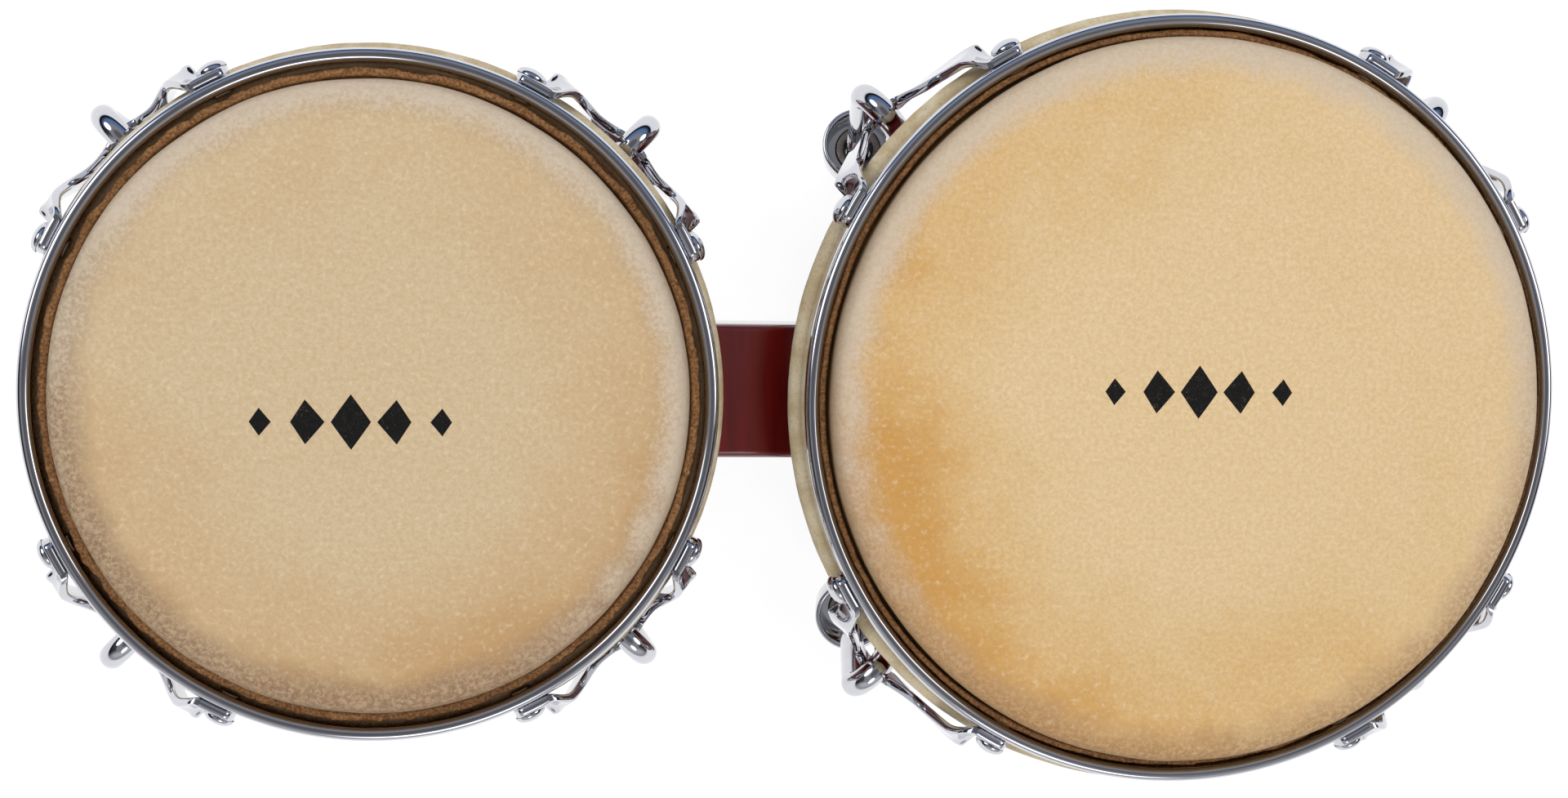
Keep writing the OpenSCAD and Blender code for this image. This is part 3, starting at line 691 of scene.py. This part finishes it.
def make_rivets(drum):
    """Domed rivets with a turned-down lip, and a flat tail inside the rim."""
    head_r, head_h, tail_r, shank_r, axis_r = 4.7, 3.0, 3.5, 2.3, 0.02
    back = -STRAP_T - SEAT - RIM_T  # the rim's inner wall, from the strap's face
    # (radius, height over the strap's face), from the dome to the tail
    outline = [(axis_r, head_h), (0.9, head_h - 0.05)]
    for a in (math.radians(degrees) for degrees in range(18, 91, 9)):
        outline.append((head_r * math.sin(a), 0.5 + (head_h - 0.55) * math.cos(a)))
    outline += [(head_r, 0.25), (head_r - 0.3, 0.0), (shank_r, 0.0)]
    outline += [(shank_r, back), (tail_r - 0.2, back), (tail_r, back - 0.12), (tail_r - 0.25, back - 0.5)]
    outline += [(tail_r - 1.2, back - 0.58), (axis_r, back - 0.6)]
    points, faces, steps = [], [], 40
    for angle in rivet_angles(drum):
        out = Vector((math.cos(angle), math.sin(angle), 0))
        across = Vector((-math.sin(angle), math.cos(angle), 0))
        centre = out * (drum.rim_r + STRAP_T + SEAT) + Vector((0, 0, drum.rim_top - RIVET_DROP))
        start = len(points)
        for i in range(steps):
            turn = TURN * i / steps
            spoke = across * math.cos(turn) + Vector((0, 0, math.sin(turn)))
            points += [tuple(centre + out * h + spoke * r) for r, h in outline]
        faces += grid_faces(steps, len(outline), start, round_rows=True)
    obj = make_piece(drum.name + "_domed_rivets", points, faces, CHROME, drum.x, sharp=50)
    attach(obj, drum.rim_body)
    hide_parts(drum.name + "_rivets")


# ---- Brackets: stamped straps that dip to carry the hooks ----
# Heights are measured down from the rim's top
MID_TOP = HOOK_DROP + ROD_R + 1  # the middle's top edge, which carries the hook
MID_H = 10  # the middle's height
END_TOP, END_LOW = 1.2, 12.2  # the ends' edges, where they lie flat on the rim
MID_OUT = HOOK_OUT - STRAP_T / 2 + 0.5  # how far the middle stands off the rim
SIDE_OUT = 4.4  # how far the slanting parts stand off
FLARE = 2  # how far their lower edges turn outwards
FLAT_PART = 0.78  # the share of an end's height that lies flat
# Where each change of shape starts and ends, as distances from the strap's middle
TOP_RISES, LOW_RISES = (5, 26), (8, 30)
BEND_AT_TOP, BEND_AT_LOW = (20, 26.5), (28, 30.5)
FLATTENS, FLARE_STARTS, FLARE_ENDS = (22, 28), (12, 28), (28.5, 30.5)
COMES_IN, LEAN_ENDS = (1, 14), (4, 16)


def strap_place(drum, s, w, lift):
    """A point of the strap: s along it from its middle, w from its top edge (0) to its lower edge (1).

    lift is outwards from its inner face.
    """
    u = abs(s)
    top = mix(MID_TOP, END_TOP, along(u, *TOP_RISES))
    low = mix(MID_TOP + MID_H, END_LOW, along(u, *LOW_RISES))
    bend = along(u, mix(BEND_AT_TOP[0], BEND_AT_LOW[0], w), mix(BEND_AT_TOP[1], BEND_AT_LOW[1], w))
    flat_part = FLAT_PART * along(u, *FLATTENS)
    free = max(0.0, (w - flat_part) / (1 - flat_part))
    wing = FLARE * along(u, *FLARE_STARTS) * (1 - along(u, *FLARE_ENDS)) * free ** 1.2
    inward = MID_H * math.tan(drum.lean) * (1 - along(u, *LEAN_ENDS))
    out = SEAT + mix(MID_OUT, SIDE_OUT, along(u, *COMES_IN)) * (1 - bend) + wing - inward * w + lift
    return Vector(cylinder_point(drum.rim_r + out, s / drum.rim_r, drum.rim_top - mix(top, low, w)))


def make_bracket(drum, corner):
    """A strap with a rolled edge all round."""
    rows, wide, roll = 120, 20, 0.55
    # (top to lower edge, inner to outer face), all round
    section = [(k / wide, 0.0) for k in range(wide + 1)]
    section += [(1.0, 0.5)] + [(1 - k / wide, 1.0) for k in range(wide + 1)] + [(0.0, 0.5)]
    edges = (0, wide, wide + 2, 2 * wide + 2)
    points = []
    for i in range(rows + 1):
        s = STRAP_HALF * (2 * i / rows - 1)
        near_end = min(1.0, (STRAP_HALF - abs(s)) / 3.0)
        round_off = 0.5 * (1 - math.sqrt(max(0.0, 1 - (1 - near_end) ** 2)))
        for k, (w, side) in enumerate(section):
            w = mix(round_off, 1 - round_off, w) if near_end < 1 else w
            inset = roll if k in edges else 0.0
            lift = STRAP_T * side + (inset if side == 0 else -inset if side == 1 else 0)
            points.append(strap_place(drum, s, w, lift))
    columns = len(section)
    faces = grid_faces(rows + 1, columns, round_columns=True)
    faces += [tuple(range(columns))[::-1], tuple(rows * columns + k for k in range(columns))]
    turn = Matrix.Rotation(TURN * (2 * corner - 1) / 8, 3, "Z")
    name = f"{drum.name}_strap_{corner}"
    obj = make_piece(name, [tuple(turn @ p) for p in points], faces, CHROME, drum.x, sharp=50)
    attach(obj, drum.rim_body)
    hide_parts(f"{drum.name}_bracket_{corner}")


# ---- Tuning rods, nuts and washers, each placed in its ear's leaning frame ----
def ear_frame(drum, corner):
    """Turns a point of the ear's own frame (outward, across, along the rod) into the drum's."""
    place = Matrix.Rotation(TURN * (2 * corner - 1) / 8, 4, "Z")
    place = place @ Matrix.Translation((drum.ear_r, 0, drum.ear_z))
    return place @ Matrix.Rotation(drum.lean, 4, "Y")


THREAD_TOP = 30
THREAD_DEPTH = 0.72
RINGS_PER_TURN = 8
RUN_OUT = 10  # the thread fades over this many rings at its top
END_CHAMFER = 1.2
# How much thinner the hook's tip gets over its last four rings, from its very end
TIP_ROUNDING = (1.5, 0.8, 0.4, 0.1)


def thread_depth(s, angle):
    """How far the screw thread is cut below the bar at a point."""
    phase = (s / THREAD_PITCH - angle / TURN) % 1.0
    return THREAD_DEPTH * abs(2 * phase - 1)


def make_rod(drum, corner):
    """A bar with a screw thread at its lower end and a hook at its top."""
    hook_z = drum.rim_top - HOOK_DROP - HOOK_BEND_R
    shaft = (hook_z - drum.ear_z - HOOK_BEND_R * math.sin(drum.lean)) / math.cos(drum.lean)
    rings = int((THREAD_TOP + ROD_END) / THREAD_PITCH * RINGS_PER_TURN)
    # Each ring of the bar: outward, along, and how far it has turned
    path = [(0.0, mix(-ROD_END, THREAD_TOP, i / rings), 0.0) for i in range(rings + 1)]
    path += [(0.0, mix(THREAD_TOP + 1.5, shaft, k / 6), 0.0) for k in range(7)]
    for a in (math.radians(degrees) for degrees in range(5, 181, 5)):
        path.append((HOOK_BEND_R * (math.cos(a) - 1), shaft + HOOK_BEND_R * math.sin(a), a))
    path += [(-2 * HOOK_BEND_R, shaft - d, math.pi) for d in (2, 4, 6, 7.6, 8.4, 8.8, HOOK_TIP)]
    steps, points = 28, []
    last = len(path) - 1
    for i, (out, up, turned) in enumerate(path):
        for k in range(steps):
            angle = TURN * k / steps
            r = ROD_R
            if i <= rings:
                fade = min(1.0, (rings - i) / RUN_OUT)
                chamfer = max(0.0, END_CHAMFER - i * (ROD_END + THREAD_TOP) / rings)
                r = min(ROD_R - thread_depth(up, angle) * fade, ROD_R - chamfer)
            if last - i < len(TIP_ROUNDING):
                r -= TIP_ROUNDING[last - i]
            side = r * math.cos(angle)
            points.append((out + side * math.cos(turned), r * math.sin(angle), up + side * math.sin(turned)))
    faces = grid_faces(len(path), steps, round_columns=True)
    faces += [tuple(range(steps))[::-1], tuple(last * steps + k for k in range(steps))]
    place = ear_frame(drum, corner)
    name = f"{drum.name}_hook_rod_{corner}"
    obj = make_piece(name, [tuple(place @ Vector(p)) for p in points], faces, CHROME, drum.x, sharp=50)
    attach(obj, f"{drum.name}_rod_set_{corner}")
    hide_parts(f"{drum.name}_rod_{corner}")


def turned_points(outline, steps):
    """Points of an outline (radius, height) turned round the z axis."""
    return [cylinder_point(r, TURN * i / steps, z) for i in range(steps) for r, z in outline]


def hexagon_r(flats, angle):
    """Radius of a hexagon at an angle, with its corners slightly rounded."""
    inside = (angle + TURN / 12) % (TURN / 6) - TURN / 12
    return min(flats / 2 / math.cos(inside), flats / 2 / math.cos(TURN / 12) - 0.12)


def hexagon_points(flats, low, high, bore_r, steps=96):
    """A chamfered hexagonal nut or bolt head between two heights, and its number of points a step."""
    points = []
    face_r = flats / 2 - 0.2
    for i in range(steps):
        angle = TURN * i / steps
        r = hexagon_r(flats, angle)
        drop = max(0.06, (r - face_r) * 0.62)
        ring = [(bore_r, low), (face_r, low), (r, low + drop)]
        ring += [(r, high - drop), (face_r, high), (bore_r, high)]
        points += [cylinder_point(a, angle, z) for a, z in ring]
    return points, len(ring)


def make_nut(drum, corner):
    """The hexagonal nut under its washer."""
    top = -EAR_PLATE_T - WASHER_FLANGE_T - 4 * SEAT
    points, columns = hexagon_points(NUT_FLATS, top - NUT_H, top, ROD_R + 0.06)
    place = ear_frame(drum, corner)
    faces = grid_faces(len(points) // columns, columns, round_rows=True, round_columns=True)
    name = f"{drum.name}_hex_nut_{corner}"
    obj = make_piece(name, [tuple(place @ Vector(p)) for p in points], faces, CHROME, drum.x, sharp=28)
    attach(obj, f"{drum.name}_nut_set_{corner}")
    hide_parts(f"{drum.name}_nut_{corner}")


def make_washers(drum):
    """Cupped washers: a flange under each ear and a collar up through it, in one piece for each drum."""
    low = -EAR_PLATE_T - WASHER_FLANGE_T - SEAT
    high = low + WASHER_FLANGE_T + EAR_PLATE_T + 1.6
    collar, flange, bore = WASHER_COLLAR_R, WASHER_COLLAR_R + 2, ROD_R + 0.7
    section = rounded([(bore, low, 0.4), (flange, low, 0.5), (flange, low + WASHER_FLANGE_T, 0.3),
                       (collar, low + WASHER_FLANGE_T, 0), (collar, high, 0.7), (bore, high, 0.7)], 4)
    points, faces, steps = [], [], 48
    for corner in CORNERS:
        place = ear_frame(drum, corner)
        start = len(points)
        points += [tuple(place @ Vector(p)) for p in turned_points(section, steps)]
        faces += grid_faces(steps, len(section), start, round_rows=True, round_columns=True)
    obj = make_piece(drum.name + "_cup_washers", points, faces, ZINC, drum.x, sharp=50)
    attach(obj, "shells")
    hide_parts(drum.name + "_washers")


# ---- Bottom rings with their ears ----
def ring_middle(drum, z):
    """Radius of the middle of the ring's steel at a height."""
    return drum.shell_r(z) + SEAT + RING_T / 2


def reach_ring(drum, place, across, up):
    """Where a line inwards through the ear's frame meets the middle of the band, found step by step."""
    x = 0.0
    for _ in range(12):
        p = place @ Vector((x, across, up))
        x -= math.hypot(p.x, p.y) - ring_middle(drum, p.z)
    return place @ Vector((x, across, up))


def ear_wall(drum, place, points, faces):
    """The U-shaped wall of one ear, from the band out and back."""
    mid_r = EAR_R + EAR_WALL_T / 2
    half = EAR_WALL_T / 2
    section = rounded([(-half, -EAR_PLATE_T, 0.5), (half, -EAR_PLATE_T, 0.7), (half, EAR_WALL_H, 0.8),
                       (-half, EAR_WALL_H, 0.8)], 4)
    start = len(points)
    points += [tuple(reach_ring(drum, place, mid_r + off, up)) for off, up in section]
    for a in (math.radians(degrees) for degrees in range(90, -91, -6)):
        points += [tuple(place @ Vector(cylinder_point(mid_r + off, a, up))) for off, up in section]
    points += [tuple(reach_ring(drum, place, -(mid_r + off), up)) for off, up in section]
    faces += grid_faces((len(points) - start) // len(section), len(section), start, round_columns=True)


def ear_plate(drum, place, points, faces):
    """The floor of one ear, from its hole out to its wall and in to the band."""
    steps, hole, wide, far = 72, WASHER_COLLAR_R + SEAT, EAR_R + EAR_WALL_T / 2, 40
    start = len(points)
    for i in range(steps):
        a = TURN * i / steps
        c, s = math.cos(a), math.sin(a)
        for r, up in ((hole, -EAR_PLATE_T), (wide, -EAR_PLATE_T), (wide, 0.0), (hole, 0.0)):
            if r == wide and c < 0:
                # Towards the drum the edge is straight, and stops at the band
                reach = min(far, wide / abs(s)) if abs(s) > 1e-6 else far
                x, y = reach * c, reach * s
                edge = reach_ring(drum, place, y if abs(y) < wide else math.copysign(wide, y), up)
                straight = place @ Vector((x, y, up))
                inside = math.hypot(straight.x, straight.y) < math.hypot(edge.x, edge.y)
                points.append(tuple(edge if inside else straight))
            else:
                points.append(tuple(place @ Vector((r * c, r * s, up))))
    faces += grid_faces(steps, 4, start, round_rows=True, round_columns=True)


def make_bottom_ring(drum):
    """A band round the shell's foot with four cup-shaped ears, in one piece."""
    low_r = drum.shell_r(RING_LOW) + SEAT
    high_r = drum.shell_r(RING_LOW + RING_H) + SEAT
    section = rounded([(low_r, RING_LOW, 0.3), (low_r + RING_T, RING_LOW, 1.0),
                       (high_r + RING_T, RING_LOW + RING_H, 1.0), (high_r, RING_LOW + RING_H, 0.3)], 5)
    steps = 360
    points = turned_points(section, steps)
    faces = grid_faces(steps, len(section), round_rows=True, round_columns=True)
    for corner in CORNERS:
        place = ear_frame(drum, corner)
        ear_wall(drum, place, points, faces)
        ear_plate(drum, place, points, faces)
    obj = make_piece(drum.name + "_ring_with_ears", points, faces, CHROME, drum.x, sharp=45)
    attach(obj, "shells")
    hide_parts(drum.name + "_bottom_ring")


# ---- Centre block, its plates and bolts ----
END_SHRINK = 0.25  # how far the block's outline draws in at its ends


def make_block():
    """A lacquered block whose ends are hollowed to fit the two shells."""
    low, high = box_mm("centre_block")
    small, large = DRUMS
    r = BLOCK_CORNER_R
    outline = rounded([(low.y, low.z, r), (high.y, low.z, r), (high.y, high.z, r), (low.y, high.z, r)], 6)
    points = []
    rows = (0.0, 0.006, 0.5, 0.994, 1.0)
    for t in rows:
        shrink = END_SHRINK if t in (0.0, 1.0) else 0.0
        for y, z in outline:
            y, z = y * (1 - shrink / high.y), z + shrink * (1 if z < (low.z + high.z) / 2 else -1)
            start = small.x + math.sqrt((small.shell_r(z) + 2 * SEAT) ** 2 - y * y)
            end = large.x - math.sqrt((large.shell_r(z) + 2 * SEAT) ** 2 - y * y)
            points.append((mix(start, end, t), y, z))
    columns = len(outline)
    faces = grid_faces(len(rows), columns, round_columns=True)
    faces += [tuple(range(columns))[::-1], tuple((len(rows) - 1) * columns + k for k in range(columns))]
    obj = make_piece("lacquered_block", points, faces, BLOCK_LACQUER, sharp=50)
    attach(obj, "shells")
    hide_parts("centre_block")


def make_plate(drum):
    """A curved backing plate inside the shell."""
    low, high = box_mm(drum.name + "_block_plate")
    columns, rows, points = 24, 12, []
    half = (high.y - low.y) / 2
    for depth in (0.0, PLATE_T):
        for i in range(rows + 1):
            z = mix(low.z, high.z, i / rows)
            r = drum.shell_r(z) - SHELL_WALL - SEAT - depth
            for k in range(columns + 1):
                y = mix(-half, half, k / columns)
                points.append((drum.side * math.sqrt(r * r - y * y), y, z))
    sheet = (rows + 1) * (columns + 1)
    faces = grid_faces(rows + 1, columns + 1)
    faces += [tuple(sheet + v for v in reversed(f)) for f in grid_faces(rows + 1, columns + 1)]
    border = list(range(columns + 1)) + [(i + 1) * (columns + 1) - 1 for i in range(1, rows + 1)]
    border += [rows * (columns + 1) + k for k in range(columns - 1, -1, -1)]
    border += [i * (columns + 1) for i in range(rows - 1, 0, -1)]
    faces += [(a, b, b + sheet, a + sheet) for a, b in zip(border, border[1:] + border[:1])]
    obj = make_piece(drum.name + "_backing_plate", points, faces, ZINC, drum.x, sharp=40)
    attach(obj, "shells")
    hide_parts(drum.name + "_block_plate")


def make_bolts(drum):
    """Hexagon-headed bolts through the plate, the shell and into the block."""
    low, high = box_mm(drum.name + "_block_bolts")
    near, far = sorted(abs(x - drum.x) for x in (low.x, high.x))
    middle = (low.z + high.z) / 2
    points, faces = [], []
    for rise in (-BOLT_RISE, BOLT_RISE):
        turn = Matrix.Translation((0, 0, middle + rise)) @ Matrix.Rotation(drum.side * math.pi / 2, 4, "Y")
        head, columns = hexagon_points(BOLT_FLATS, near, near + BOLT_HEAD_H, TINY)
        shank = turned_points([(TINY, near + 1), (BOLT_R, near + 1), (BOLT_R, far), (TINY, far)], 32)
        for part, width in ((head, columns), (shank, 4)):
            start = len(points)
            points += [tuple(turn @ Vector(p)) for p in part]
            faces += grid_faces(len(part) // width, width, start, round_rows=True)
    obj = make_piece(drum.name + "_hex_bolts", points, faces, ZINC, drum.x, sharp=28)
    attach(obj, "shells")
    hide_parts(drum.name + "_block_bolts")


# ---- Everything together ----
def repaint(node, material):
    """Gives a CAD node that stays in view a better material."""
    materials = frame["nodes"][node].data.materials
    materials.clear()
    materials.append(material)


def make_drum(drum):
    hide = make_hide(drum, make_shell(drum))
    make_wrap(drum)
    make_rim(drum)
    make_rivets(drum)
    for corner in CORNERS:
        make_bracket(drum, corner)
        make_rod(drum, corner)
        make_nut(drum, corner)
    make_washers(drum)
    make_bottom_ring(drum)
    make_plate(drum)
    make_bolts(drum)
    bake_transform(hide)
    repaint(drum.name + "_flesh_hoop", ZINC)


for each_drum in DRUMS:
    make_drum(each_drum)
make_block()
repaint("block_inserts", BRASS)


# ---- Floor, light and camera ----
def make_floor():
    """A pale floor, far wider than any view, just below the drums."""
    half, z = 30000, -0.2
    corners = [(-half, -half, z), (half, -half, z), (half, half, z), (-half, half, z)]
    make_piece("floor", corners, [(0, 1, 2, 3)], floor_material())


def make_softbox(name, place, size, power):
    """A large rectangular light, placed and sized in metres, that faces the middle of the drums."""
    light = bpy.data.lights.new(name, "AREA")
    light.shape = "RECTANGLE"
    light.size, light.size_y = size
    light.energy = power
    obj = bpy.data.objects.new(name, light)
    bpy.context.scene.collection.objects.link(obj)
    obj.location = place
    obj.rotation_mode = "QUATERNION"
    obj.rotation_quaternion = (Vector(place) - Vector((0, 0, 0.1))).to_track_quat("Z", "Y")
    obj.visible_glossy = False


def world_patch(nodes, direction, towards, width, soft):
    """1 inside a round patch of sky towards a direction, 0 outside it."""
    facing = nodes.dot(direction, tuple(Vector(towards).normalized()))
    return nodes.step(facing, math.cos(math.radians(width + soft)), math.cos(math.radians(width)))


def make_world():
    """A studio for the chrome to reflect, with three windows.

    It is white at the floor, dark to the sides, bluish at the back and light in front.
    """
    world = bpy.data.worlds.new("studio")
    bpy.context.scene.world = world
    n = Nodes(world.name, world)
    direction = n.add("TexCoord").outputs["Generated"]
    _, y, z = n.split(direction)
    front = n.step(y, -0.25, -0.75)
    wall = n.mix(n.step(y, -0.1, 0.6), (0.05, 0.05, 0.055, 1), (0.14, 0.24, 0.45, 1))
    wall = n.mix(front, wall, (0.6, 0.6, 0.61, 1))
    low = n.mix(front, (0.012, 0.013, 0.016, 1), (0.42, 0.42, 0.43, 1))
    colour = n.mix(n.step(z, 0.05, 0.13), (0.98, 0.98, 0.985, 1), low)
    colour = n.mix(n.step(z, 0.22, 0.5), colour, wall)
    colour = n.mix(n.step(z, 0.62, 0.78), colour, (0.3, 0.3, 0.32, 1))
    colour = n.mix(n.step(z, 0.9, 0.97), colour, (0.14, 0.14, 0.15, 1))
    for towards, width in (((-0.75, 0.35, 0.8), 13), ((0.8, 0.15, 0.75), 11), ((0.1, -0.8, 0.85), 9)):
        colour = n.mix(world_patch(n, direction, towards, width, 5), colour, (2.4, 2.4, 2.45, 1))
    n.feed(n.tree.nodes["Background"].inputs[0], colour)


def make_camera():
    """The photograph's viewpoint: over the small drum, turned a little to the large one and the player."""
    data = bpy.data.cameras.new("camera")
    data.sensor_width = 36
    data.lens = 51.36
    data.shift_x, data.shift_y = 0.0208, 0.0581
    data.clip_start, data.clip_end = 0.05, 50
    obj = bpy.data.objects.new("camera", data)
    bpy.context.scene.collection.objects.link(obj)
    tilt, swing, roll = (math.radians(a) for a in (5.629, 6.617, -0.035))
    turn = Matrix.Rotation(-tilt, 3, "X") @ Matrix.Rotation(-swing, 3, "Y") @ Matrix.Rotation(-roll, 3, "Z")
    aside, back, above = 34.2, 38.5, 657.7  # from the middle of the small rim's top
    place = Vector((DRUMS[0].x + aside, back, DRUMS[0].rim_top + above)) * MM
    obj.matrix_world = Matrix.Translation(place) @ turn.to_4x4()
    bpy.context.scene.camera = obj


make_floor()
make_world()
make_softbox("key_softbox", (0.9, 2.0, 2.4), (2.2, 1.4), 31)
make_softbox("left_softbox", (-2.4, 0.5, 2.0), (1.2, 1.6), 19)
make_softbox("front_softbox", (0.4, -2.4, 2.0), (2.0, 1.0), 14)
make_softbox("top_softbox", (0.05, 0.3, 3.0), (1.6, 1.2), 30)
make_camera()
bpy.context.scene.view_settings.view_transform = "Standard"
